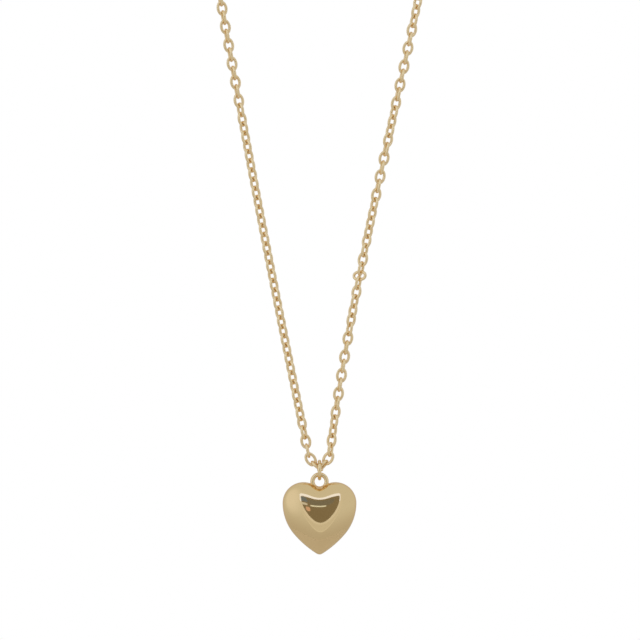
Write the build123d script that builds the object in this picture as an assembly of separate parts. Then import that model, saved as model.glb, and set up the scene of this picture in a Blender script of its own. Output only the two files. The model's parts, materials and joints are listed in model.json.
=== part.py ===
"""A pendant necklace: a puffed heart on an oval cable chain, fastened at the nape by a lobster clasp.

The front of the chain hangs as a flat V in a vertical plane. Above it the chain leans back over
the collar and closes round the neck. Millimetres, +Z up, +X to the wearer's left, the front
faces -Y. The origin is on the chain's line at the nape, where the necklace is held.
"""
from build123d import *
import math
import os

# The chain's links: four tangent arcs of round wire
LINK_LENGTH = 3.12
LINK_WIDTH = 2.28
LINK_WIRE = 0.58
LINK_END_RADIUS = 0.68
PLAY = 0.04
PITCH = LINK_LENGTH - 2 * LINK_WIRE - PLAY

# The hanging front: its height over the bottom link, and how it is divided for movement
FRONT_HEIGHT = 100.0
ROWS = 9
LINKS_PER_ROW = 6

# The collar: the flat pattern of the chain bends back over a roll and lies on a slope
BEND_RADIUS = 28.0
COLLAR_SLOPE = math.radians(60)
COLLAR_TOP = 198.0
COLLAR_REACH_LEFT = 88.0
COLLAR_REACH_RIGHT = 80.0
COLLAR_REACH_TOP = 34.0
COLLAR_LINKS_LEFT = 56
COLLAR_LINKS_RIGHT = 56

# The pendant
RING_RADIUS = 1.755
RING_WIRE = 0.75
RING_CUT_AT = 140.0
BAIL_RADIUS = 1.44
BAIL_WIRE = 0.88
BAIL_HEIGHT = -3.27
TIP_HEIGHT = -18.2
HEART_TOP = 14.8
LOBE_X = 3.278
LOBE_RADIUS = 4.274
CLEFT_RADIUS = 4.8
FLANK_RADIUS = 9.845
FLANK_TURN = 40.6
LOWER_RADIUS = 20.02
LOWER_TURN = 58.0
HEART_CORE = 8.0
HEART_DEPTH = 2.8
HEART_WALL = 0.45
DOME_POWER = 2.2
DOME_SHARES = (1.0, 0.985, 0.94, 0.86, 0.74, 0.58, 0.38, 0.15)

# The clasp, in its own plane: u from its eye to its hook, w across it
CLASP_THICK = 2.0
NECK_AT = 1.5
NECK_RADIUS = 0.9
BELLY_AT = (5.0, -0.2)
BELLY_RADIUS = 1.75
SHANK_ROUND = 0.4
EYE_RADIUS = 0.95
EYE_WIRE = 0.7
HOOK_AT = 7.6
HOOK_RADIUS = 2.2
HOOK_WIRE = 1.2
HOOK_ROOT = -150.0
HOOK_TIP = 74.0
PIVOT = (4.9, 0.6)
PIN_RADIUS = 0.35
PIN_PLAY = 0.03
LEVER_THICK = 0.8
LEVER_RADIUS = 0.85
GATE_WIRE = 0.76
GATE_ROOT = 153.0
GATE_TIP = 60.0
GATE_REACH = 3.7
GATE_PLAY = 0.05
NUB_AT = PIVOT[0] - 0.3
NUB_BASE = PIVOT[1] + 0.4
NUB_TOP = PIVOT[1] + 2.0
NUB_WIDTH = 0.6
NUB_RADIUS = 0.42
SLOT_ENDS = (3.55, 7.2)
SLOT_WIDTH = 1.0
SLOT_FLOOR = -0.5
SPRING_AT = 5.45
SPRING_FOOT = -1.2
SPRING_LENGTH = 1.1
SPRING_RADIUS = 0.31
SPRING_BORE = 0.19
POCKET_RADIUS = 0.36

# Rings at the nape, and the extender
SAW_CUT = 1.5
END_RING_RADIUS = 1.35
END_RING_WIRE = 0.5
END_RING_CUT_AT = 60.0
HOOKED_RING_RADIUS = 2.15
HOOKED_RING_WIRE = 0.7
HOOKED_RING_LEAN = 45.0
SLANT_PLAY = 0.1
EXTENDER_LENGTH = 4.2
EXTENDER_WIDTH = 3.0
EXTENDER_WIRE = 0.6
EXTENDER_END_RADIUS = 0.95
EXTENDER_LINKS = 9
BEAD_RADIUS = 1.6
BEAD_LOOP_RADIUS = 0.9
BEAD_LOOP_WIRE = 0.5


def unit(v):
    return v * (1 / v.length)


def oval_ring(length, width, wire, end_radius):
    """A closed oval of round wire with its long axis along X, lying in the XY plane."""
    a = (length - wire) / 2
    b = (width - wire) / 2
    reach = a - end_radius
    side_radius = (reach**2 + b**2 - end_radius**2) / (2 * (b - end_radius))
    meet = math.degrees(math.atan2(side_radius - b, reach))
    arcs = [
        ((reach, 0), end_radius, -meet, meet),
        ((0, b - side_radius), side_radius, meet, 180 - meet),
        ((-reach, 0), end_radius, 180 - meet, 180 + meet),
        ((0, side_radius - b), side_radius, 180 + meet, 360 - meet),
    ]
    return fuse([bent_wire(Location((x, y, 0)), r, wire, lo, hi) for (x, y), r, lo, hi in arcs])


def bent_wire(place, radius, wire, low, high):
    """Round wire bent to an arc in the place's XY plane, from one angle in degrees to another."""
    turn = math.radians(low)
    start = Plane(
        origin=(radius * math.cos(turn), radius * math.sin(turn), 0),
        x_dir=(math.cos(turn), math.sin(turn), 0),
        z_dir=(-math.sin(turn), math.cos(turn), 0),
    )
    disc = start * Circle(wire / 2)
    return place * revolve(disc, Axis.Z, high - low)


def fuse(shapes):
    whole = shapes[0]
    for shape in shapes[1:]:
        whole = whole + shape
    return whole


def single(shape):
    """The one solid that a cut leaves, apart from any shaving."""
    return max(shape.solids(), key=lambda solid: solid.volume)


# ---- where the chain runs -------------------------------------------------------------------
COLLAR_RISE = COLLAR_TOP - FRONT_HEIGHT - BEND_RADIUS * COLLAR_SLOPE
NAPE_BACK = BEND_RADIUS * (1 - math.cos(COLLAR_SLOPE)) + COLLAR_RISE * math.sin(COLLAR_SLOPE)
NAPE_UP = FRONT_HEIGHT + BEND_RADIUS * math.sin(COLLAR_SLOPE) + COLLAR_RISE * math.cos(COLLAR_SLOPE)


def lean(h):
    """How far the chain's surface has leant back from vertical at a height on the flat pattern."""
    return min(max(h - FRONT_HEIGHT, 0) / BEND_RADIUS, COLLAR_SLOPE)


def wrapped(x, h, y=0.0):
    """A point of the flat pattern, and y in front of it, put where it lies on the necklace."""
    angle = lean(h)
    rest = max(h - FRONT_HEIGHT - BEND_RADIUS * COLLAR_SLOPE, 0)
    back = BEND_RADIUS * (1 - math.cos(angle)) + rest * math.sin(angle)
    up = min(h, FRONT_HEIGHT) + BEND_RADIUS * math.sin(angle) + rest * math.cos(angle)
    return Vector(x, back - NAPE_BACK + y * math.cos(angle), up - NAPE_UP - y * math.sin(angle))


class Strand:
    """One side of the chain on the flat pattern, from a first link's centre up to the nape."""

    def __init__(self, side, start, bends, collar_reach, links, turns):
        self.side = side
        self.links = links
        self.turns = turns
        x0, h0 = start
        step = 0.25
        points = []
        for n in range(int((FRONT_HEIGHT - h0) / step) + 1):
            rise = n * step
            spread = sum(bend * rise ** (power + 1) for power, bend in enumerate(bends))
            points.append((x0 + side * spread, h0 + rise))
        (xa, ha), (xb, hb) = points[-2:]
        run = math.hypot(xb - xa, hb - ha)
        ends = [
            (xb, hb),
            (xb + collar_reach * (xb - xa) / run, hb + collar_reach * (hb - ha) / run),
            (side * COLLAR_REACH_TOP, COLLAR_TOP),
            (0.0, COLLAR_TOP),
        ]
        pieces = 600
        for n in range(1, pieces + 1):
            t = n / pieces
            weights = ((1 - t) ** 3, 3 * t * (1 - t) ** 2, 3 * t**2 * (1 - t), t**3)
            points.append(tuple(sum(w * p[i] for w, p in zip(weights, ends)) for i in (0, 1)))
        self.points = points
        self.along = [0.0]
        for (xa, ha), (xb, hb) in zip(points, points[1:]):
            self.along.append(self.along[-1] + math.hypot(xb - xa, hb - ha))
        self.length = self.along[-1]

    def at(self, s):
        """The point of the flat pattern this far along."""
        low, high = 0, len(self.along) - 1
        while high - low > 1:
            middle = (low + high) // 2
            if self.along[middle] <= s:
                low = middle
            else:
                high = middle
        share = (s - self.along[low]) / (self.along[high] - self.along[low])
        (xa, ha), (xb, hb) = self.points[low], self.points[high]
        return xa + share * (xb - xa), ha + share * (hb - ha)

    def roll(self, h):
        """The twist of the chain in degrees: 0 shows every second link face on."""
        for (ha, ra), (hb, rb) in zip(self.turns, self.turns[1:]):
            if ha <= h < hb:
                return ra + (rb - ra) * (h - ha) / (hb - ha)
        return self.turns[-1][1] if h >= self.turns[-1][0] else self.turns[0][1]

    def place(self, s, number, extra=0.0):
        """The location of link number, centred this far along."""
        x, h = self.at(s)
        low = self.at(max(s - 0.5, 0.0))
        high = self.at(min(s + 0.5, self.length))
        along = unit(wrapped(*high) - wrapped(*low))
        return link_location(wrapped(x, h), along, lean(h), self.roll(h) + 90 * (number % 2), extra)


def link_location(centre, along, slope, roll, extra=0.0):
    """A link's place from its centre, its long axis and its roll about it.

    Extra turns it in its own plane.
    """
    front = Vector(0, -math.cos(slope), math.sin(slope))
    front = unit(front - along * front.dot(along))
    side = along.cross(front)
    turn = math.radians(roll)
    normal = front * math.cos(turn) + side * math.sin(turn)
    return Plane(origin=centre, x_dir=along, z_dir=normal).location * Rot(0, 0, extra)


def leaning(angle, depth=0.0):
    """A direction in the front plane, leaning from vertical towards +X, and back by depth degrees."""
    a, d = math.radians(angle), math.radians(depth)
    return Vector(math.sin(a) * math.cos(d), math.sin(d), math.cos(a) * math.cos(d))


# ---- the two strands ------------------------------------------------------------------------
ROW_LINKS = ROWS * LINKS_PER_ROW
KINKED = 19
KINK_TURN = 75.0
KINK_STEP = (LINK_LENGTH + LINK_WIDTH) / 2 - 2 * LINK_WIRE - PLAY

# The four links at the bottom of the V: x, depth, height, lean, depth of lean, roll
BOTTOM_LINKS = {
    "bottom_left_link": (-1.797, -0.063, 1.268, -34.0, 3.05, -5.6),
    "bottom_centre_link": (-0.509, -0.217, -0.082, -50.55, 2.7, 77.6),
    "bottom_inner_link": (0.667, 0.327, -0.042, 41.2, -4.2, 71.2),
    "bottom_right_link": (1.78, 0.072, 1.464, 33.3, -7.1, -15.3),
}
# The first link of each strand: x, height, lean, roll
FIRST_LEFT = (-2.42, 3.046, -12.5, 88.6)
FIRST_RIGHT = (2.224, 3.269, 6.1, 67.9)

LEFT = Strand(
    side=-1,
    start=FIRST_LEFT[:2],
    bends=(0.209, -0.00017),
    collar_reach=COLLAR_REACH_LEFT,
    links=ROW_LINKS + COLLAR_LINKS_LEFT,
    turns=[(3.5, 88), (10, 45), (70, 45), (76, 15), (FRONT_HEIGHT, 15), (COLLAR_TOP - 10, -30)],
)
RIGHT = Strand(
    side=1,
    start=FIRST_RIGHT[:2],
    bends=(0.132, 0.00123, -0.0000059),
    collar_reach=COLLAR_REACH_RIGHT,
    links=ROW_LINKS + COLLAR_LINKS_RIGHT,
    turns=[
        (3.5, 68), (8, 45), (14, 10), (25, 10), (31, 45), (37, 65), (43, 65), (48, 45), (52, 45),
        (58, 10), (63, 10), (69, 45), (71, 45), (77, 10), (87, 10), (93, 45), (FRONT_HEIGHT, 45),
        (COLLAR_TOP - 10, 75),
    ],
)


def station(strand, number):
    """How far along its strand a link's centre is. The kinked link takes up less of the right strand."""
    if strand is LEFT or number < KINKED:
        return number * PITCH
    if number == KINKED:
        return (KINKED - 1) * PITCH + KINK_STEP
    return (number - 2) * PITCH + 2 * KINK_STEP


def strand_link(strand, number):
    if number == 0:
        x, h, angle, roll = FIRST_LEFT if strand is LEFT else FIRST_RIGHT
        return link_location(wrapped(x, h), leaning(angle), 0.0, roll)
    kinked = strand is RIGHT and number == KINKED
    return strand.place(station(strand, number), number, KINK_TURN if kinked else 0.0)


def joint_point(strand, number):
    """Where a link hooks into the next one down."""
    x, h = strand.at((station(strand, number) + station(strand, number - 1)) / 2)
    return wrapped(x, h)


def row_numbers(row):
    """The links of a row on each side; row 1 is the highest."""
    first = LINKS_PER_ROW * (ROWS - row)
    return range(first, first + LINKS_PER_ROW)


# ---- the pendant ----------------------------------------------------------------------------
RING_HEIGHT = BAIL_HEIGHT + BAIL_RADIUS - (RING_WIRE + BAIL_WIRE) / 2 - PLAY + RING_RADIUS


def heart_outline():
    """The heart's outline in the XY plane, its tip at the origin, with tangent arcs down each side."""
    angles = [
        math.degrees(math.acos(-LOBE_X / CLEFT_RADIUS)),
        90.0,
        0.0,
        -FLANK_TURN,
        -LOWER_TURN,
    ]
    radii = [CLEFT_RADIUS, LOBE_RADIUS, FLANK_RADIUS, LOWER_RADIUS]
    centre = Vector(LOBE_X, HEART_TOP - CLEFT_RADIUS)
    edges = []
    for radius, high, low, after in zip(radii, angles, angles[1:], radii[1:] + [None]):
        ends = [polar(centre, radius, high), polar(centre, radius, low)]
        edges.append((ends[0], polar(centre, radius, (high + low) / 2), ends[1]))
        if after:
            centre = polar(centre, radius - after, low)
    last = edges[-1][2]
    tip_radius = last.X / math.cos(math.radians(LOWER_TURN))
    tip_centre = Vector(0, last.Y + tip_radius * math.sin(math.radians(LOWER_TURN)))
    tip_middle = polar(tip_centre, tip_radius, -(90 + LOWER_TURN) / 2)
    edges.append((last, tip_middle, polar(tip_centre, tip_radius, -90)))
    arcs = [ThreePointArc(*points) for points in edges]
    for points in reversed(edges):
        arcs.append(ThreePointArc(*[Vector(-p.X, p.Y) for p in reversed(points)]))
    return Wire(arcs)


def polar(centre, radius, angle):
    a = math.radians(angle)
    return centre + Vector(radius * math.cos(a), radius * math.sin(a))


def dome(size, depth):
    """A puffed half heart: heart outlines that shrink towards its core as the dome rises."""
    core = Location((0, HEART_CORE, 0))
    outline = core.inverse() * make_face(heart_outline())
    sections = []
    for share in DOME_SHARES:
        height = depth * math.sqrt(1 - share**DOME_POWER)
        sections.append(core * Location((0, 0, height)) * scale(outline, size * share))
    return loft(sections)


def heart_shell(bail):
    """The front half, hollow, cut away where the bail is soldered into the cleft."""
    inner = 1 - 2 * HEART_WALL / (2 * (LOBE_X + LOBE_RADIUS))
    shell = dome(1.0, HEART_DEPTH) - dome(inner, HEART_DEPTH - HEART_WALL)
    return single(wrapped_location(0, TIP_HEIGHT) * Rot(90, 0, 0) * shell - bail)


def wrapped_location(x, h):
    return Location(wrapped(x, h))


def full_ring(place, radius, wire, cut=0.0):
    """A round ring of wire in the place's XY plane, with a saw cut this many degrees wide, or none."""
    if cut:
        return bent_wire(place, radius, wire, cut / 2, 360 - cut / 2)
    return place * Torus(radius, wire / 2)


# ---- the nape: end ring, clasp, hooked ring -------------------------------------------------
END_REACH = (LINK_LENGTH - LINK_WIRE) / 2
LEFT_END = wrapped(*LEFT.at(station(LEFT, LEFT.links - 1) + END_REACH))
RIGHT_END = wrapped(*RIGHT.at(station(RIGHT, RIGHT.links - 1) + END_REACH))
NAPE_Y = LEFT_END.Y
NAPE_Z = LEFT_END.Z


def touching(wire_a, wire_b):
    return (wire_a + wire_b) / 2 + PLAY


END_RING_X = LEFT_END.X - touching(LINK_WIRE, END_RING_WIRE) + END_RING_RADIUS
EYE_X = END_RING_X + END_RING_RADIUS - touching(END_RING_WIRE, EYE_WIRE) + EYE_RADIUS
HOOK_END_X = EYE_X + HOOK_AT + HOOK_RADIUS
HOOKED_RING_X = HOOK_END_X - touching(HOOK_WIRE, HOOKED_RING_WIRE) - SLANT_PLAY + HOOKED_RING_RADIUS
CLASP_PLANE = Plane(origin=(EYE_X, NAPE_Y, NAPE_Z), x_dir=(1, 0, 0), z_dir=(0, -1, 0)).location


def clasp_body():
    ends = Pos(NECK_AT, 0) * Circle(NECK_RADIUS) + Pos(*BELLY_AT) * Circle(BELLY_RADIUS)
    shank = extrude(make_hull(ends.edges()), CLASP_THICK / 2, both=True)
    shank = fillet(shank.edges(), SHANK_ROUND)
    shank -= Pos(HOOK_AT, 0, 0) * Cylinder(HOOK_RADIUS - HOOK_WIRE / 2, 2 * CLASP_THICK)
    shank -= Cylinder(EYE_RADIUS - EYE_WIRE / 2, 2 * CLASP_THICK)
    low, high = SLOT_ENDS
    slot = Box(high - low, CLASP_THICK * 2, SLOT_WIDTH, align=(Align.CENTER, Align.MIN, Align.CENTER))
    shank -= Pos((low + high) / 2, SLOT_FLOOR, 0) * slot
    pocket = Cylinder(POCKET_RADIUS, CLASP_THICK, align=(Align.CENTER, Align.CENTER, Align.MIN))
    shank -= Pos(SPRING_AT, SPRING_FOOT, 0) * Rot(-90, 0, 0) * pocket
    shank -= Pos(*PIVOT, 0) * Cylinder(PIN_RADIUS, 2 * CLASP_THICK)
    hook = bent_wire(Pos(HOOK_AT, 0, 0), HOOK_RADIUS, HOOK_WIRE, HOOK_ROOT, HOOK_TIP)
    corner = Pos(HOOK_AT, PIVOT[1], 0) * Box(5, 5, 5, align=(Align.MIN, Align.MIN, Align.CENTER))
    hook -= corner & (Pos(*PIVOT, 0) * Cylinder(GATE_REACH + GATE_PLAY, 2 * CLASP_THICK))
    eye = Torus(EYE_RADIUS, EYE_WIRE / 2)
    return single(CLASP_PLANE * (shank + hook + eye))


def clasp_lever():
    """The gate with its boss on the pin and the nub that a fingernail catches."""
    boss = Pos(*PIVOT, 0) * Cylinder(LEVER_RADIUS, LEVER_THICK)
    gate = bent_wire(Pos(HOOK_AT, 0, 0), HOOK_RADIUS, GATE_WIRE, GATE_TIP, GATE_ROOT)
    gate &= Pos(*PIVOT, 0) * Cylinder(GATE_REACH, 2 * CLASP_THICK)
    stem = Pos(NUB_AT, (NUB_BASE + NUB_TOP) / 2, 0) * Box(NUB_WIDTH, NUB_TOP - NUB_BASE, LEVER_THICK)
    nub = Pos(NUB_AT, NUB_TOP, 0) * Cylinder(NUB_RADIUS, LEVER_THICK)
    bore = Pos(*PIVOT, 0) * Cylinder(PIN_RADIUS + PIN_PLAY, 2 * CLASP_THICK)
    return single(CLASP_PLANE * (boss + gate + stem + nub - bore))


def clasp_pin():
    return CLASP_PLANE * Pos(*PIVOT, 0) * Cylinder(PIN_RADIUS, CLASP_THICK)


def clasp_spring():
    middle = Pos(SPRING_AT, SPRING_FOOT + SPRING_LENGTH / 2, 0) * Rot(90, 0, 0)
    coil = Cylinder(SPRING_RADIUS, SPRING_LENGTH) - Cylinder(SPRING_BORE, SPRING_LENGTH)
    return single(CLASP_PLANE * middle * coil)


# ---- the extender ---------------------------------------------------------------------------
RING_LEAN = math.radians(HOOKED_RING_LEAN)
RING_CENTRE = Vector(HOOKED_RING_X, (NAPE_Y + RIGHT_END.Y) / 2, (NAPE_Z + RIGHT_END.Z) / 2)
RING_RIGHT = Vector(HOOKED_RING_X + HOOKED_RING_RADIUS, RIGHT_END.Y, RIGHT_END.Z)
RING_ACROSS = unit(RING_RIGHT - RING_CENTRE)
RING_AXIS = Vector(0, math.sin(RING_LEAN), math.cos(RING_LEAN))
HOOKED_RING_PLANE = Plane(
    origin=RING_CENTRE,
    x_dir=RING_ACROSS,
    z_dir=unit(RING_AXIS - RING_ACROSS * RING_AXIS.dot(RING_ACROSS)),
).location
EXTENDER_REACH = (EXTENDER_LENGTH - EXTENDER_WIRE) / 2
EXTENDER_PITCH = EXTENDER_LENGTH - 2 * EXTENDER_WIRE - PLAY
EXTENDER_HOOK = Vector(
    HOOKED_RING_X,
    RING_CENTRE.Y + HOOKED_RING_RADIUS * math.cos(RING_LEAN),
    RING_CENTRE.Z - HOOKED_RING_RADIUS * math.sin(RING_LEAN),
)
EXTENDER_FIRST_Z = EXTENDER_HOOK.Z + touching(HOOKED_RING_WIRE, EXTENDER_WIRE) - EXTENDER_REACH


def extender_place(number):
    z = EXTENDER_FIRST_Z - number * EXTENDER_PITCH
    normal = (1, 0, 0) if number % 2 == 0 else (0, 1, 0)
    return Plane(origin=(EXTENDER_HOOK.X, EXTENDER_HOOK.Y, z), x_dir=(0, 0, -1), z_dir=normal).location


def extender_joint_z(number):
    """The height where an extender link hooks into the one above it."""
    return EXTENDER_FIRST_Z - (number - 0.5) * EXTENDER_PITCH


BEAD_LOOP_Z = (
    extender_joint_z(EXTENDER_LINKS) + EXTENDER_PITCH / 2 - EXTENDER_REACH
    + touching(EXTENDER_WIRE, BEAD_LOOP_WIRE) - BEAD_LOOP_RADIUS
)
BEAD_Z = BEAD_LOOP_Z - BEAD_LOOP_RADIUS - BEAD_RADIUS + BEAD_LOOP_WIRE / 2
XZ_FACING = Rot(90, 0, 0)
YZ_FACING = Rot(0, 90, 0)


def build():
    """Every node of the necklace by name."""
    link = single(oval_ring(LINK_LENGTH, LINK_WIDTH, LINK_WIRE, LINK_END_RADIUS))
    big_link = single(
        oval_ring(EXTENDER_LENGTH, EXTENDER_WIDTH, EXTENDER_WIRE, EXTENDER_END_RADIUS)
    )
    nodes = {}
    for name, strand in (("left", LEFT), ("right", RIGHT)):
        for row in range(1, ROWS + 1):
            nodes[f"{name}_chain_row_{row}"] = [strand_link(strand, n) * link for n in row_numbers(row)]
        collar = range(ROW_LINKS, strand.links)
        nodes[f"{name}_collar_chain"] = [strand_link(strand, n) * link for n in collar]
    for name, (x, depth, h, angle, tilt, roll) in BOTTOM_LINKS.items():
        place = link_location(wrapped(x, h, depth), leaning(angle, tilt), 0.0, roll)
        nodes[name] = [place * link]

    bail = single(full_ring(wrapped_location(0, BAIL_HEIGHT) * XZ_FACING, BAIL_RADIUS, BAIL_WIRE))
    front = heart_shell(bail)
    plane = Plane(origin=wrapped(0, 0), x_dir=(1, 0, 0), z_dir=(0, 1, 0))
    ring = wrapped_location(0, RING_HEIGHT) * YZ_FACING * Rot(0, 0, RING_CUT_AT)
    nodes["pendant_jump_ring"] = [single(full_ring(ring, RING_RADIUS, RING_WIRE, SAW_CUT))]
    nodes["pendant_bail_loop"] = [bail]
    nodes["heart_front_shell"] = [front]
    nodes["heart_back_shell"] = [single(mirror(front, plane))]

    end_ring = Location((END_RING_X, NAPE_Y, NAPE_Z)) * Rot(0, 0, END_RING_CUT_AT)
    nodes["end_ring"] = [single(full_ring(end_ring, END_RING_RADIUS, END_RING_WIRE, SAW_CUT))]
    nodes["clasp_body"] = [clasp_body()]
    nodes["clasp_lever"] = [clasp_lever()]
    nodes["clasp_pin"] = [clasp_pin()]
    nodes["clasp_spring"] = [clasp_spring()]
    hooked_ring = full_ring(HOOKED_RING_PLANE, HOOKED_RING_RADIUS, HOOKED_RING_WIRE)
    nodes["extender_ring"] = [single(hooked_ring)]
    thirds = {"upper": range(0, 3), "middle": range(3, 6), "lower": range(6, EXTENDER_LINKS)}
    for name, numbers in thirds.items():
        nodes[f"extender_{name}_links"] = [extender_place(n) * big_link for n in numbers]
    loop = Location((EXTENDER_HOOK.X, EXTENDER_HOOK.Y, BEAD_LOOP_Z)) * XZ_FACING
    bead_loop = single(full_ring(loop, BEAD_LOOP_RADIUS, BEAD_LOOP_WIRE))
    socket = full_ring(loop, BEAD_LOOP_RADIUS, BEAD_LOOP_WIRE + PLAY)
    bead = Location((EXTENDER_HOOK.X, EXTENDER_HOOK.Y, BEAD_Z)) * Sphere(BEAD_RADIUS)
    nodes["extender_bead_loop"] = [bead_loop]
    nodes["extender_bead"] = [single(bead - socket)]
    return nodes


def main():
    os.makedirs("parts", exist_ok=True)
    for name, solids in build().items():
        shape = solids[0] if len(solids) == 1 else Compound(children=solids)
        export_step(shape, f"parts/{name}.step")


if __name__ == "__main__":
    main()
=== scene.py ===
"""Looks of the pendant necklace: champagne gold chain, puffed heart, clasp and extender."""
import json
import math

import bpy
import numpy as np
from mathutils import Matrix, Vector

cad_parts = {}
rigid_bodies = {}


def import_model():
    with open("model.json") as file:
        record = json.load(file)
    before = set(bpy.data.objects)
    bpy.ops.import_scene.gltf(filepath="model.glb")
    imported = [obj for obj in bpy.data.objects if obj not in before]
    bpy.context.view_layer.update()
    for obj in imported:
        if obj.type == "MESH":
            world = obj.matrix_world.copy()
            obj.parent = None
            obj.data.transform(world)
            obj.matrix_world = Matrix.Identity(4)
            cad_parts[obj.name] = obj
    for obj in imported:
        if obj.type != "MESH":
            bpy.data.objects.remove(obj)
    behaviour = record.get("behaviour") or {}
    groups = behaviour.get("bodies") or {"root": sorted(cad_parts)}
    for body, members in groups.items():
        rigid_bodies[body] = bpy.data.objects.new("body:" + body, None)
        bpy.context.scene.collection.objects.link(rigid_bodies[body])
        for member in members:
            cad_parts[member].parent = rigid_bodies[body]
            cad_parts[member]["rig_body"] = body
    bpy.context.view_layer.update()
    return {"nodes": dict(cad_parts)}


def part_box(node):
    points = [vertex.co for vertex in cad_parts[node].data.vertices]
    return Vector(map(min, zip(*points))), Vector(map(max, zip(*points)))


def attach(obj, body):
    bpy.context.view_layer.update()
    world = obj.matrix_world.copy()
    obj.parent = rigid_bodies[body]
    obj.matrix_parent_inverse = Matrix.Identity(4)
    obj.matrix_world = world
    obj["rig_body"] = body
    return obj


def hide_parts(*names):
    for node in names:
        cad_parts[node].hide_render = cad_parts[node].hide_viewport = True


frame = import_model()
MM = 0.001
X, Y, Z = np.eye(3)

# Sizes of the CAD parts, in millimetres
LINK = {"length": 3.12, "width": 2.28, "wire": 0.58, "end_radius": 0.68}
BIG_LINK = {"length": 4.2, "width": 3.0, "wire": 0.6, "end_radius": 0.95}
HEART_WALL = 0.45
HEART_DEPTH = 2.8

# A link's soldered seam: how much thicker the wire is there, and how far along it, in millimetres
SEAM_SWELL = 0.03
SEAM_LENGTH = 0.09

# How finely wires are made, and the width of a ring's saw cut, in degrees
LINK_POINTS, LINK_SIDES = 72, 20
RING_POINTS, RING_SIDES = 96, 28
SAW_CUT = 1.5


# ---- meshes -------------------------------------------------------------------------------------
def box(node):
    """A node's lowest and highest corners."""
    low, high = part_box(node)
    return np.array(low), np.array(high)


def new_piece(name, vertices, faces, node, material, slot, replaces=True):
    """A smooth piece, in metres, that rides on a CAD node's body and may stand for the node."""
    mesh = bpy.data.meshes.new(name)
    mesh.from_pydata([tuple(v) for v in vertices], [], [tuple(f) for f in faces])
    mesh.validate()
    mesh.update()
    mesh.shade_smooth()
    mesh.materials.append(material)
    piece = bpy.data.objects.new(name, mesh)
    bpy.context.scene.collection.objects.link(piece)
    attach(piece, frame["nodes"][node]["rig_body"])
    if replaces:
        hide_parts(node)


def merge(parts):
    """Several (vertices, faces) as one."""
    vertices, faces, start = [], [], 0
    for v, f in parts:
        vertices.append(np.asarray(v))
        faces.extend([tuple(i + start for i in face) for face in f])
        start += len(v)
    return np.concatenate(vertices), faces


def solids_of(node):
    """The separate solids of a CAD node, each as vertices and triangles."""
    mesh = frame["nodes"][node].data
    mesh.calc_loop_triangles()
    points = np.zeros(len(mesh.vertices) * 3)
    mesh.vertices.foreach_get("co", points)
    triangles = np.zeros(len(mesh.loop_triangles) * 3, np.int64)
    mesh.loop_triangles.foreach_get("vertices", triangles)
    points, where = np.unique(np.round(points.reshape(-1, 3), 7), axis=0, return_inverse=True)
    triangles = where.reshape(-1)[triangles].reshape(-1, 3)
    label = np.arange(len(points))
    while True:
        low = label[triangles].min(axis=1)
        new = label.copy()
        for k in range(3):
            np.minimum.at(new, triangles[:, k], low)
        new = new[new]
        if (new == label).all():
            break
        label = new
    groups = label[triangles[:, 0]]
    return [(points, triangles[groups == g]) for g in np.unique(groups)]


def place_of(points, triangles):
    """The centre of a solid's volume and its principal axes, the longest first."""
    origin = points[triangles[0, 0]]
    a, b, c = (points[triangles[:, k]] - origin for k in range(3))
    det = np.einsum("ij,ij->i", a, np.cross(b, c))
    total = a + b + c
    centre = (det[:, None] * total).sum(0) / 4 / det.sum()
    second = sum(np.einsum("i,ij,ik->jk", det, p, p) for p in (total, a, b, c)) / 120
    spread = second / (det.sum() / 6) - np.outer(centre, centre)
    axes = np.linalg.eigh(spread)[1].T[::-1]
    return centre + origin, axes


def oval_line(length, width, wire, end_radius):
    """Points and outward directions along an oval link's wire, from four tangent arcs."""
    a, b = (length - wire) / 2, (width - wire) / 2
    reach = a - end_radius
    side = (reach**2 + b**2 - end_radius**2) / (2 * (b - end_radius))
    meet = math.atan2(side - b, reach)
    arcs = [
        ((reach, 0), end_radius, -meet, meet),
        ((0, b - side), side, meet, math.pi - meet),
        ((-reach, 0), end_radius, math.pi - meet, math.pi + meet),
        ((0, side - b), side, math.pi + meet, 2 * math.pi - meet),
    ]
    whole = sum(r * (end - start) for _, r, start, end in arcs)
    points, outward = [], []
    for (x, y), r, start, end in arcs:
        count = max(4, round(LINK_POINTS * r * (end - start) / whole))
        for n in range(count):
            t = start + (end - start) * n / count
            points.append((x + r * math.cos(t), y + r * math.sin(t)))
            outward.append((math.cos(t), math.sin(t)))
    return np.array(points), np.array(outward)


def directions(turn, x_axis, y_axis):
    """Unit directions at some angles in the plane of two axes."""
    return np.cos(turn)[:, None] * x_axis + np.sin(turn)[:, None] * y_axis


def wire_loop(points, outward, normal, radii, sides):
    """A closed tube round a planar loop, with a radius at each point."""
    turn = np.linspace(0, 2 * math.pi, sides, endpoint=False)
    across = np.cos(turn)[None, :, None] * outward[:, None, :]
    across = across + np.sin(turn)[None, :, None] * normal
    vertices = (points[:, None, :] + radii[:, None, None] * across).reshape(-1, 3)
    count, faces = len(points), []
    for i in range(count):
        j = (i + 1) % count
        for k in range(sides):
            m = (k + 1) % sides
            faces.append((i * sides + k, i * sides + m, j * sides + m, j * sides + k))
    return vertices, faces


def wire_arc(points, outward, normal, radii, sides):
    """As wire_loop, but open, with a flat face at each end."""
    vertices, faces = wire_loop(points, outward, normal, radii, sides)
    faces = faces[: (len(points) - 1) * sides]
    faces.append(tuple(range(sides)))
    faces.append(tuple((len(points) - 1) * sides + k for k in reversed(range(sides))))
    return vertices, faces


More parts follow.
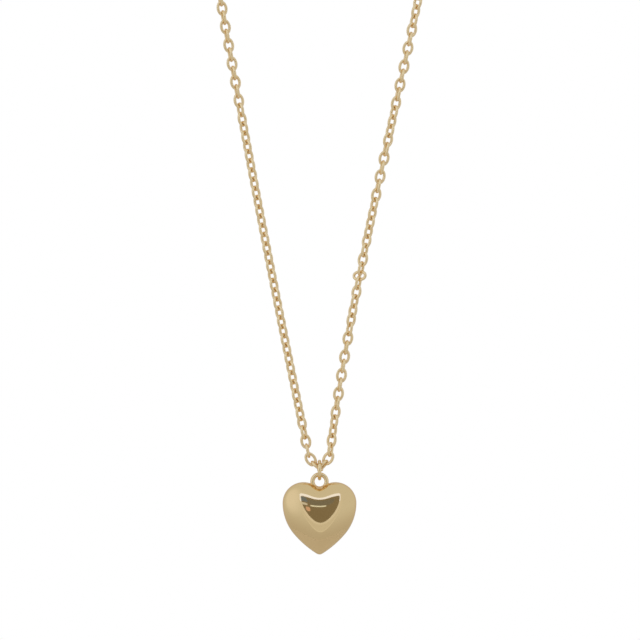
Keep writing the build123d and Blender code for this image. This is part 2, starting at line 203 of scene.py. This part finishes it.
def turned(centre, axis, profile, sides):
    """A body of revolution from (along, radius) pairs."""
    a = np.cross(axis, [0.3, 0.5, 0.8])
    a /= np.linalg.norm(a)
    turn = np.linspace(0, 2 * math.pi, sides, endpoint=False)
    around = directions(turn, a, np.cross(axis, a))
    vertices = np.concatenate([centre + t * axis + r * around for t, r in profile])
    faces = []
    for i in range(len(profile) - 1):
        for k in range(sides):
            m = (k + 1) % sides
            faces.append((i * sides + k, i * sides + m, (i + 1) * sides + m, (i + 1) * sides + k))
    faces.append(tuple(reversed(range(sides))))
    faces.append(tuple((len(profile) - 1) * sides + k for k in range(sides)))
    return vertices, faces


# ---- materials ----------------------------------------------------------------------------------
def metal(name, colour, dark, roughness, rough_change, grain, bump):
    """Plated metal: a colour that drifts a little, duller handled patches, and faint lumps."""
    material = bpy.data.materials.new(name)
    material.use_nodes = True
    nodes, links = material.node_tree.nodes, material.node_tree.links
    shader = nodes["Principled BSDF"]
    shader.inputs["Metallic"].default_value = 1.0
    where = nodes.new("ShaderNodeTexCoord")

    def noise(scale, detail):
        texture = nodes.new("ShaderNodeTexNoise")
        texture.inputs["Scale"].default_value = scale
        texture.inputs["Detail"].default_value = detail
        links.new(where.outputs["Object"], texture.inputs["Vector"])
        return texture.outputs["Fac"]

    def spread(value, low, high):
        change = nodes.new("ShaderNodeMapRange")
        change.inputs["From Min"].default_value = 0.3
        change.inputs["From Max"].default_value = 0.7
        change.inputs["To Min"].default_value = low
        change.inputs["To Max"].default_value = high
        links.new(value, change.inputs["Value"])
        return change.outputs["Result"]

    tint = nodes.new("ShaderNodeMix")
    tint.data_type = "RGBA"
    tint.inputs["A"].default_value = (*colour, 1)
    tint.inputs["B"].default_value = (*dark, 1)
    links.new(spread(noise(grain * 0.35, 4), 0, 1), tint.inputs["Factor"])
    links.new(tint.outputs["Result"], shader.inputs["Base Color"])
    patches = spread(noise(grain, 6), roughness, roughness + rough_change)
    links.new(patches, shader.inputs["Roughness"])
    lumps = nodes.new("ShaderNodeBump")
    lumps.inputs["Strength"].default_value = 1.0
    lumps.inputs["Distance"].default_value = bump
    links.new(noise(grain * 0.5, 3), lumps.inputs["Height"])
    links.new(lumps.outputs["Normal"], shader.inputs["Normal"])
    return material


# Name, colour, darker colour, roughness, more roughness, grain per metre, height of the lumps
CHAIN_METAL = metal("chain_gold", (0.955, 0.745, 0.425), (0.935, 0.71, 0.38), 0.26, 0.06, 700, 4e-7)
HEART_METAL = metal("heart_gold", (0.85, 0.625, 0.315), (0.84, 0.61, 0.30), 0.035, 0.03, 420, 4e-7)
RING_METAL = metal("ring_gold", (0.93, 0.72, 0.40), (0.91, 0.69, 0.37), 0.25, 0.05, 700, 4e-7)
# The solder's darker, oranger colours are partly painted shade of the cleft under the bail
SOLDER_WITH_PAINTED_SHADE = metal("solder_gold_painted_shade", (0.80, 0.56, 0.24), (0.70, 0.44, 0.15), 0.22, 0.15, 2200, 1.2e-5)
CLASP_METAL = metal("clasp_gold", (0.93, 0.72, 0.40), (0.90, 0.68, 0.36), 0.24, 0.06, 700, 4e-7)
STEEL = metal("spring_steel_wire", (0.62, 0.60, 0.57), (0.5, 0.48, 0.45), 0.22, 0.1, 2500, 3e-6)


# ---- the chain and its rings --------------------------------------------------------------------
def link_mesh(centre, axes, size):
    """One oval link with a faint soldered seam on its flank."""
    line, out = oval_line(**size)
    along, across = axes[0], axes[1]
    if along[2] < 0:
        along = -along
    normal = np.cross(along, across)
    points = centre + MM * (line[:, :1] * along + line[:, 1:] * across)
    outward = out[:, :1] * along + out[:, 1:] * across
    swell = np.exp(-((line[:, 0] / SEAM_LENGTH) ** 2)) * (line[:, 1] > 0)
    radii = MM * size["wire"] / 2 * (1 + SEAM_SWELL * swell)
    return wire_loop(points, outward, normal, radii, LINK_SIDES)


def links_piece(node, size, material, slot):
    """Every link of a node, as one piece."""
    parts = [link_mesh(*place_of(*solid), size) for solid in solids_of(node)]
    new_piece("smooth_" + node, *merge(parts), node, material, slot)


def torus_piece(node, a, b, slot, cut_at=None):
    """A ring of round wire in the plane of axes a and b, closed or with a saw cut at an angle."""
    low, high = box(node)
    centre, size = (low + high) / 2, high - low
    normal = np.cross(a, b)
    wire = abs(size @ normal)
    radius = (abs(size @ a) - wire) / 2
    if cut_at is None:
        turn = np.linspace(0, 2 * math.pi, RING_POINTS, endpoint=False)
        radii, shape = np.full(RING_POINTS, wire / 2), wire_loop
    else:
        ends = (cut_at + SAW_CUT / 2, cut_at + 360 - SAW_CUT / 2)
        turn = np.radians(np.linspace(*ends, RING_POINTS + 1))
        radii, shape = np.full(RING_POINTS + 1, wire / 2), wire_arc
        radii[[0, -1]] *= 0.9
    outward = directions(turn, a, b)
    made = shape(centre + radius * outward, outward, normal, radii, RING_SIDES)
    new_piece("smooth_" + node, *made, node, RING_METAL, slot)


for node in sorted(frame["nodes"]):
    if "chain" in node or node.startswith("bottom_"):
        links_piece(node, LINK, CHAIN_METAL, "chain_links")
    elif node.startswith("extender_") and node.endswith("_links"):
        links_piece(node, BIG_LINK, RING_METAL, "extender")

torus_piece("pendant_jump_ring", Y, Z, "rings", cut_at=140)
torus_piece("pendant_bail_loop", X, -Z, "rings")
torus_piece("end_ring", X, Y, "rings", cut_at=60)
torus_piece("extender_bead_loop", X, -Z, "extender")

# ---- the heart ----------------------------------------------------------------------------------
# Its outline in millimetres and degrees, with its tip at zero, and the point its dome rises round
LOBE_X, LOBE_RADIUS, HEART_TOP = 3.278, 4.274, 14.8
CLEFT_RADIUS, FLANK_RADIUS, LOWER_RADIUS = 4.8, 9.845, 20.02
FLANK_TURN, LOWER_TURN = 40.6, 58.0
CORE = np.array([0.0, 8.0])
OUTLINE_STEPS = 60

# The membrane: points on its rim, sources outside it, and how far out from the core they stand
RIM_POINTS, SOURCE_POINTS, SOURCE_REACH = 420, 150, 1.22

# The shell's mesh: points round it and rings up it, where the rings end, and the rim drawn in
SHELL_AROUND, SHELL_UP = 320, 72
CROWN_ANGLE = 0.02
RIM_SHARE = 0.9975

# How far the heart's side lies from its core, and half the gap at the seam, in millimetres
SIDE_REACH = 2.2 * LOBE_X
SEAM_GAP = 0.012


def heart_outline():
    """The heart's outline from its cleft down to its tip and back, in millimetres from its tip."""
    cleft = math.degrees(math.acos(-LOBE_X / CLEFT_RADIUS))
    angles = [cleft, 90.0, 0.0, -FLANK_TURN, -LOWER_TURN]
    radii = [CLEFT_RADIUS, LOBE_RADIUS, FLANK_RADIUS, LOWER_RADIUS]
    centre = np.array([LOBE_X, HEART_TOP - CLEFT_RADIUS])
    half = []
    for n, radius in enumerate(radii):
        turn = np.radians(np.linspace(angles[n], angles[n + 1], OUTLINE_STEPS, endpoint=False))
        half.append(centre + radius * directions(turn, *np.eye(2)))
        end = math.radians(angles[n + 1])
        direction = np.array([math.cos(end), math.sin(end)])
        if n + 1 < len(radii):
            centre = centre + (radius - radii[n + 1]) * direction
        else:
            last = centre + radius * direction
    tip_radius = last[0] / math.cos(math.radians(LOWER_TURN))
    middle = np.array([0, last[1] + tip_radius * math.sin(math.radians(LOWER_TURN))])
    turn = np.radians(np.linspace(-LOWER_TURN, -90.0, OUTLINE_STEPS))
    half.append(middle + tip_radius * directions(turn, *np.eye(2)))
    half = np.concatenate(half)
    half -= [0, half[-1][1]]
    return np.concatenate([half, (half * [-1, 1])[-2:0:-1]])


def evenly(loop, count):
    """A closed loop's points, spaced evenly along it."""
    closed = np.concatenate([loop, loop[:1]])
    steps = np.linalg.norm(np.diff(closed, axis=0), axis=1)
    along = np.concatenate([[0], np.cumsum(steps)])
    at = np.linspace(0, along[-1], count, endpoint=False)
    return np.stack([np.interp(at, along, closed[:, k]) for k in (0, 1)], 1)


class Puff:
    """A membrane blown up inside an outline: as high as the square root of a stretched film."""

    def __init__(self, outline):
        rim = evenly(outline, RIM_POINTS)
        self.sources = CORE + SOURCE_REACH * (evenly(outline, SOURCE_POINTS) - CORE)
        matrix = self.kernel(rim)
        right = (rim**2).sum(1) / 4
        self.weights = np.linalg.lstsq(matrix, right, rcond=1e-11)[0]
        # Its top lies over the core, or between there and the cleft
        inside = CORE + np.linspace(0, 0.6, 60)[:, None] * (rim[0] - CORE)
        grid = np.meshgrid(np.linspace(-3, 3, 61), np.linspace(5, 12, 71))
        grid = np.stack(grid, -1).reshape(-1, 2)
        self.top = max(self.film(grid).max(), self.film(inside).max())

    def kernel(self, points):
        gap = points[:, None, :] - self.sources[None, :, :]
        logs = np.log((gap**2).sum(-1)) / 2
        return np.concatenate([logs, np.ones((len(points), 1))], 1)

    def film(self, points):
        return self.kernel(points) @ self.weights - (points**2).sum(1) / 4

    def height(self, points):
        return np.sqrt(np.clip(self.film(points) / self.top, 0, None))


def heart_shell(node, side):
    """One half of the heart as a hollow shell; side is -1 for the front and 1 for the back."""
    low, high = box(node)
    tip = np.array([(low[0] + high[0]) / 2, high[1] if side < 0 else low[1], low[2]])
    outline = heart_outline()
    puff = Puff(outline)
    rim = evenly(outline, SHELL_AROUND)
    outer = [np.append(CORE + RIM_SHARE * (rim - CORE), np.zeros((SHELL_AROUND, 1)), axis=1)]
    for share in np.sin(np.linspace(math.pi / 2, CROWN_ANGLE, SHELL_UP))[1:]:
        ring = CORE + share * (rim - CORE)
        outer.append(np.column_stack([ring, HEART_DEPTH * puff.height(ring)]))
    outer.append([[*CORE, HEART_DEPTH * puff.height(CORE[None])[0]]])
    outer = np.concatenate(outer)
    inner = outer.copy()
    inner[:, :2] = CORE + (1 - HEART_WALL / SIDE_REACH) * (inner[:, :2] - CORE)
    inner[:, 2] *= 1 - HEART_WALL / HEART_DEPTH
    faces, size, last_ring = [], len(outer), (SHELL_UP - 1) * SHELL_AROUND
    for k in range(SHELL_AROUND):
        m = (k + 1) % SHELL_AROUND
        skin = [
            (i + k, i + m, i + SHELL_AROUND + m, i + SHELL_AROUND + k)
            for i in range(0, last_ring, SHELL_AROUND)
        ]
        skin.append((last_ring + k, last_ring + m, size - 1))
        faces.extend(skin)
        faces.extend(tuple(size + q for q in reversed(face)) for face in skin)
        faces.append((k, size + k, size + m, m))
    skins = np.concatenate([outer, inner])
    points = np.stack([skins[:, 0], side * (skins[:, 2] + SEAM_GAP), skins[:, 1]], 1)
    if side > 0:
        faces = [tuple(reversed(face)) for face in faces]
    new_piece("smooth_" + node, tip + MM * points, faces, node, HEART_METAL, "heart")


def cleft_solder(first=-158, last=-22, steps=61, thin=0.12, more=0.44):
    """A crescent of solder under the bail, thick in its middle, that joins it into the cleft. Its
    darker orange colour is partly painted shade of the cleft.
    """
    low, high = box("pendant_bail_loop")
    wire = high[1] - low[1]
    radius = 1.06 * (high[0] - low[0] - wire) / 2
    outward = directions(np.radians(np.linspace(first, last, steps)), X, Z)
    taper = np.sin(np.linspace(0, math.pi, steps)) ** 0.35
    radii = wire * (thin + more * taper)
    made = wire_arc((low + high) / 2 + radius * outward, outward, Y, radii, 24)
    new_piece("cleft_solder", *made, "pendant_bail_loop", SOLDER_WITH_PAINTED_SHADE, "rings", replaces=False)


heart_shell("heart_front_shell", -1)
heart_shell("heart_back_shell", 1)
cleft_solder()


# ---- clasp, hooked ring and bead ----------------------------------------------------------------
def cast_piece(node, voxel):
    """A CAD solid of the clasp with its edges melted together, as a casting's are."""
    piece = frame["nodes"][node].copy()
    piece.data = piece.data.copy()
    for key in list(piece.keys()):
        del piece[key]
    piece.parent = None
    piece.name = "cast_" + node
    piece.data.name = piece.name
    bpy.context.scene.collection.objects.link(piece)
    bpy.context.view_layer.objects.active = piece
    weld = piece.modifiers.new("weld", "WELD")
    weld.merge_threshold = 1e-6
    remesh = piece.modifiers.new("remesh", "REMESH")
    remesh.mode = "VOXEL"
    remesh.voxel_size = voxel
    smooth = piece.modifiers.new("smooth", "SMOOTH")
    smooth.factor = 0.5
    smooth.iterations = 10
    for modifier in ("weld", "remesh", "smooth"):
        bpy.ops.object.modifier_apply(modifier=modifier)
    piece.data.shade_smooth()
    piece.data.materials.clear()
    piece.data.materials.append(CLASP_METAL)
    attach(piece, frame["nodes"][node]["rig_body"])
    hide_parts(node)


def clasp_pin():
    """The lever's pivot pin, with rounded ends."""
    low, high = box("clasp_pin")
    half, radius = (high[1] - low[1]) / 2, (high[0] - low[0]) / 2
    profile = [(-half, radius * 0.45), (-half + 5e-5, radius * 0.8), (-half + 1.4e-4, radius)]
    profile += [(-t, r) for t, r in reversed(profile)]
    made = turned((low + high) / 2, Y, profile, 40)
    new_piece("turned_clasp_pin", *made, "clasp_pin", CLASP_METAL, "spring_steel")


def clasp_spring():
    """A wound spring whose first and last turns lie flat."""
    coils, flat_turns, wire, steps = 6.0, 0.9, 1.1e-4, 181
    low, high = box("clasp_spring")
    middle = (low + high) / 2
    turns = coils * np.linspace(0, 1, steps)
    climb = np.clip((turns - flat_turns) / (coils - 2 * flat_turns), 0, 1)
    rise = low[2] + wire / 2 + (high[2] - low[2] - wire) * climb
    outward = directions(2 * math.pi * turns, X, Y)
    points = middle * (X + Y) + outward * ((high[0] - low[0]) / 2 - wire / 2)
    points[:, 2] = rise
    made = wire_arc(points, outward, Z, np.full(steps, wire / 2), 12)
    new_piece("coil_clasp_spring", *made, "clasp_spring", STEEL, "spring_steel")


def extender_ring():
    """The ring that the clasp hooks, which lies aslant, so that its place comes from its solid."""
    points, triangles = solids_of("extender_ring")[0]
    centre, axes = place_of(points, triangles)
    wire_radius = np.abs((points - centre) @ axes[2]).max()
    outer = np.linalg.norm(points - centre, axis=1).max()
    turn = np.linspace(0, 2 * math.pi, RING_POINTS, endpoint=False)
    outward = directions(turn, axes[0], axes[1])
    radii = np.full(RING_POINTS, wire_radius)
    line = centre + (outer - wire_radius) * outward
    made = wire_loop(line, outward, np.cross(axes[0], axes[1]), radii, RING_SIDES)
    new_piece("smooth_extender_ring", *made, "extender_ring", RING_METAL, "extender")


def extender_bead():
    """The bead at the extender's end, with a small collar under its loop."""
    low, high = box("extender_bead")
    radius = (high[0] - low[0]) / 2
    centre = np.array([(low[0] + high[0]) / 2, (low[1] + high[1]) / 2, low[2] + radius])
    ball = [(math.sin(t), math.cos(t)) for t in np.radians(np.linspace(-89, 66, 60))]
    collar = [(0.97, 0.36), (1.02, 0.33), (1.05, 0.26)]
    profile = [(radius * t, radius * r) for t, r in ball + collar]
    made = turned(centre, Z, profile, 72)
    new_piece("turned_extender_bead", *made, "extender_bead", HEART_METAL, "extender")


cast_piece("clasp_body", 6e-5)
cast_piece("clasp_lever", 4e-5)
clasp_pin()
clasp_spring()
extender_ring()
extender_bead()

# ---- camera and cards ---------------------------------------------------------------------------
VIEW_WIDTH = 0.13094
DISTANCE = 1.2
heart_low, heart_high = box("heart_front_shell")
PLANE_Y = heart_high[1]
AIM = Vector((0.0001, PLANE_Y, heart_low[2] + 0.04797))
camera = bpy.data.objects.new("camera", bpy.data.cameras.new("camera"))
bpy.context.scene.collection.objects.link(camera)
camera.location = AIM + Vector((0, -DISTANCE, 0))
camera.rotation_euler = (math.pi / 2, 0, 0)
camera.data.sensor_width = 36
camera.data.lens = camera.data.sensor_width * DISTANCE / VIEW_WIDTH
camera.data.clip_start = 0.05
camera.data.clip_end = 20
bpy.context.scene.camera = camera

# The middle of the cards: a metre before the heart, a little over its tip
CARDS_AT = Vector((0, PLANE_Y - 1.0, heart_low[2] + 0.008))


def emitter(name, colour, strength):
    """A material that only glows."""
    material = bpy.data.materials.new(name)
    material.use_nodes = True
    nodes, links = material.node_tree.nodes, material.node_tree.links
    nodes.clear()
    glow = nodes.new("ShaderNodeEmission")
    glow.inputs["Color"].default_value = (*colour, 1)
    glow.inputs["Strength"].default_value = strength
    out = nodes.new("ShaderNodeOutputMaterial")
    links.new(glow.outputs["Emission"], out.inputs["Surface"])
    return material


def rounded(left, right, low, high, low_round, high_round):
    """A rectangle with rounded corners; the lower pair is (wide, tall), the upper pair is round."""
    wide, tall = low_round
    corners = [
        (right - wide, low + tall, wide, tall, -90),
        (right - high_round, high - high_round, high_round, high_round, 0),
        (left + high_round, high - high_round, high_round, high_round, 90),
        (left + wide, low + tall, wide, tall, 180),
    ]
    steps, points = 24, []
    for x, z, reach, rise, start in corners:
        for n in range(steps + 1):
            t = math.radians(start + 90 / steps * n)
            points.append((x + reach * math.cos(t), z + rise * math.sin(t)))
    return points


def card(name, sides, low_round, high_round, nearer, colour, strength):
    """A lit card of the studio, seen only in reflections, in a plane before the heart."""
    outline = rounded(*sides, low_round, high_round)
    mesh = bpy.data.meshes.new(name)
    mesh.from_pydata([(x, nearer, z) for x, z in outline], [], [tuple(range(len(outline)))])
    mesh.materials.append(emitter(name, colour, strength))
    made = bpy.data.objects.new(name, mesh)
    bpy.context.scene.collection.objects.link(made)
    made.location = CARDS_AT
    made.visible_camera = False
    made.visible_shadow = False


# Name, sides (left, right, low, high), lower and upper corners, nearer by, colour, strength
card("lens_shade", (-0.335, 0.395, -0.21, 0.54), (0.36, 0.52), 0.04, 0.06, (0.238, 0.215, 0.166), 1)
card("lens_rim_top", (-0.39, 0.44, 0.30, 0.71), (0.03, 0.03), 0.10, 0.04, (0.556, 0.654, 1), 1.85)
card("lens_rim", (-0.40, 0.47, -0.26, 0.50), (0.40, 0.50), 0.05, 0.03, (0.85, 0.90, 1), 0.87)
card("tent_seam", (-0.43, 0.52, -0.475, 0.74), (0.46, 0.72), 0.2, 0.02, (0.88, 0.93, 1), 0.84)
card("tent_gap", (-0.41, 0.50, -0.445, 0.73), (0.44, 0.70), 0.2, 0.025, (0.90, 0.94, 1), 0.74)
card("band", (-0.17, 0.23, 0.24, 0.45), (0.09, 0.09), 0.09, 0.075, (0.20, 0.205, 0.20), 1)
card("window", (-0.14, 0.10, 0.19, 0.228), (0.018, 0.018), 0.018, 0.09, (0.73, 0.855, 1), 1.17)
card("sleeve", (-0.33, -0.19, 0.20, 0.27), (0.03, 0.03), 0.03, 0.08, (0.78, 0.85, 1), 0.84)
card("hand", (-0.25, -0.16, 0.04, 0.16), (0.04, 0.04), 0.04, 0.085, (0.67, 0.48, 0.44), 1)
card("cloth", (-0.335, -0.17, 0.31, 0.50), (0.02, 0.02), 0.07, 0.07, (0.17, 0.23, 0.35), 1)


# ---- floor and world ----------------------------------------------------------------------------
def paper_floor(sides=96, radius=0.7, under_heart=0.5):
    """A round floor of pale paper, well under the hanging heart."""
    turns = [2 * math.pi * n / sides for n in range(sides)]
    mesh = bpy.data.meshes.new("floor")
    rim = [(radius * math.cos(t), radius * math.sin(t), 0) for t in turns]
    mesh.from_pydata(rim, [], [tuple(range(sides))])
    floor = bpy.data.objects.new("floor", mesh)
    bpy.context.scene.collection.objects.link(floor)
    floor.location = (0, PLANE_Y / 2, heart_low[2] - under_heart)
    paper = bpy.data.materials.new("paper")
    paper.use_nodes = True
    shader = paper.node_tree.nodes["Principled BSDF"]
    shader.inputs["Base Color"].default_value = (0.82, 0.79, 0.75, 1)
    shader.inputs["Roughness"].default_value = 0.9
    mesh.materials.append(paper)


def studio_world():
    """White to the camera, and a pale tent, tinted by direction, to everything that reflects it."""
    world = bpy.data.worlds.new("studio")
    bpy.context.scene.world = world
    world.use_nodes = True
    nodes, links = world.node_tree.nodes, world.node_tree.links
    nodes.clear()
    direction = nodes.new("ShaderNodeTexCoord")

    def lit_from(before, towards, low, high, colour):
        """The tent's colour, changed towards a direction, from cosine low on and fully by high."""
        share = nodes.new("ShaderNodeVectorMath")
        share.operation = "DOT_PRODUCT"
        share.inputs[1].default_value = Vector(towards).normalized()
        links.new(direction.outputs["Generated"], share.inputs[0])
        ramp = nodes.new("ShaderNodeMapRange")
        ramp.interpolation_type = "SMOOTHSTEP"
        ramp.inputs["From Min"].default_value = low
        ramp.inputs["From Max"].default_value = high
        links.new(share.outputs["Value"], ramp.inputs["Value"])
        blend = nodes.new("ShaderNodeMix")
        blend.data_type = "RGBA"
        if isinstance(before, tuple):
            blend.inputs["A"].default_value = (*before, 1)
        else:
            links.new(before, blend.inputs["A"])
        blend.inputs["B"].default_value = (*colour, 1)
        links.new(ramp.outputs["Result"], blend.inputs["Factor"])
        return blend.outputs["Result"]

    colour = lit_from((0.675, 0.72, 0.775), (0, 1, 0), -0.1, 0.8, (0.61, 0.58, 0.61))
    colour = lit_from(colour, (-1.2, -1.0, 0.6), 0.78, 0.99, (0.81, 0.86, 0.97))
    colour = lit_from(colour, (0, 0, -1), -0.05, 0.6, (0.545, 0.55, 0.565))
    tent = nodes.new("ShaderNodeBackground")
    links.new(colour, tent.inputs["Color"])
    seen = nodes.new("ShaderNodeBackground")
    seen.inputs["Color"].default_value = (1, 1, 1, 1)
    path = nodes.new("ShaderNodeLightPath")
    mix = nodes.new("ShaderNodeMixShader")
    out = nodes.new("ShaderNodeOutputWorld")
    links.new(path.outputs["Is Camera Ray"], mix.inputs["Fac"])
    links.new(tent.outputs["Background"], mix.inputs[1])
    links.new(seen.outputs["Background"], mix.inputs[2])
    links.new(mix.outputs["Shader"], out.inputs["Surface"])


paper_floor()
studio_world()
bpy.context.scene.view_settings.view_transform = "Standard"
bpy.context.scene.view_settings.look = "None"
